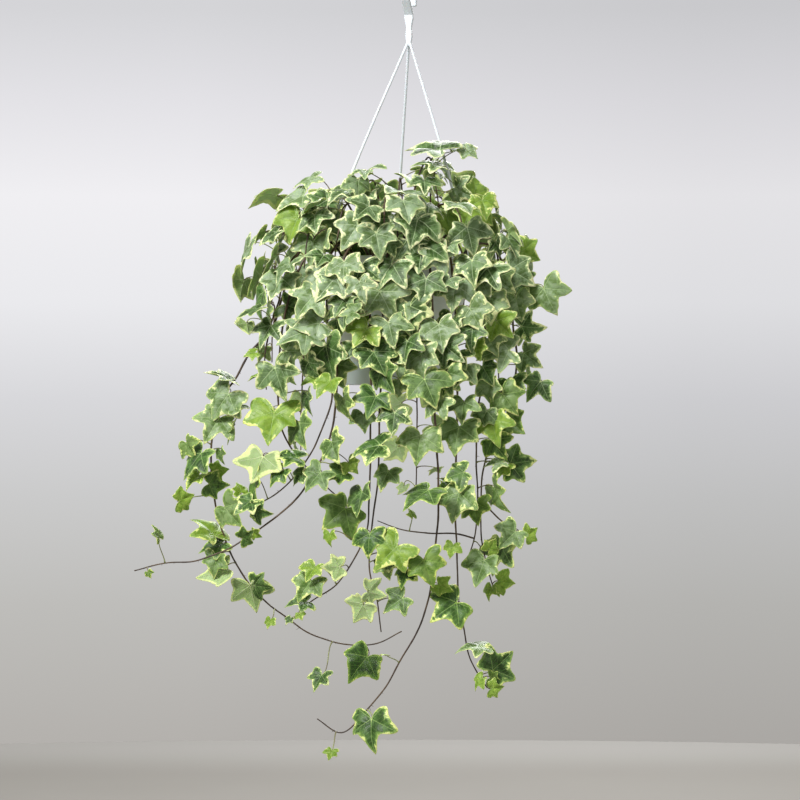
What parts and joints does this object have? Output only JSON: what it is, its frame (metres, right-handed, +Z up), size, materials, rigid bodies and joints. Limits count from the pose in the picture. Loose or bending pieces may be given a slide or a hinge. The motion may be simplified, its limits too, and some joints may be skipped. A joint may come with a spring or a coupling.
{
  "type": "potted ivy in a hanging pot",
  "caption": "Variegated trailing ivy growing in a white plastic hanging pot with a clip-on saucer, soil and a moulded three-strand hanger.",
  "frame": {"origin": "inside top of the hook, where the rail or branch that carries the plant lies", "axes": "+Z up along the hanging plant, +X to the right and +Y away from the side seen in the front view"},
  "size_m": [0.4251, 0.3019, 0.7647],
  "materials": {
    "hanger_plastic": "white moulded polypropylene, slightly translucent, soft gloss",
    "pot_plastic": "white injection-moulded plastic, satin, faint moulding texture",
    "saucer_plastic": "white injection-moulded plastic, satin",
    "soil": "dark crumbly peat and fibre compost, matt",
    "ivy_leaf": "leathery variegated leaf, cream margin, pale veins, soft sheen",
    "ivy_stem": "thin dark woody stem, matt"
  },
  "bodies": {
    "root": {"hanger": "hanger_plastic", "pot": "pot_plastic", "saucer": "saucer_plastic", "soil": "soil", "shoot_left_long": "ivy_leaf", "shoot_left_front": "ivy_leaf", "shoot_left_sweep": "ivy_leaf", "shoot_left_cross": "ivy_leaf", "shoot_left_drop": "ivy_leaf", "shoot_middle_left": "ivy_leaf", "shoot_middle_twin": "ivy_leaf", "shoot_bottom": "ivy_leaf", "shoot_middle_right": "ivy_leaf", "shoot_right_fan": "ivy_leaf", "shoot_right_drop": "ivy_leaf", "shoot_crown_right": "ivy_leaf", "shoot_crown_left": "ivy_leaf", "shoot_free_01": "ivy_leaf", "shoot_free_02": "ivy_leaf", "shoot_free_03": "ivy_leaf", "shoot_free_04": "ivy_leaf", "shoot_free_05": "ivy_leaf", "shoot_free_06": "ivy_leaf", "shoot_free_07": "ivy_leaf", "shoot_free_08": "ivy_leaf", "shoot_free_09": "ivy_leaf", "shoot_free_10": "ivy_leaf", "shoot_free_11": "ivy_leaf", "shoot_free_12": "ivy_leaf", "shoot_free_13": "ivy_leaf", "shoot_free_14": "ivy_leaf", "shoot_free_15": "ivy_leaf", "shoot_free_16": "ivy_leaf", "shoot_free_17": "ivy_leaf", "shoot_free_18": "ivy_leaf", "shoot_free_19": "ivy_leaf", "shoot_free_20": "ivy_leaf"}
  },
  "joints": []
}
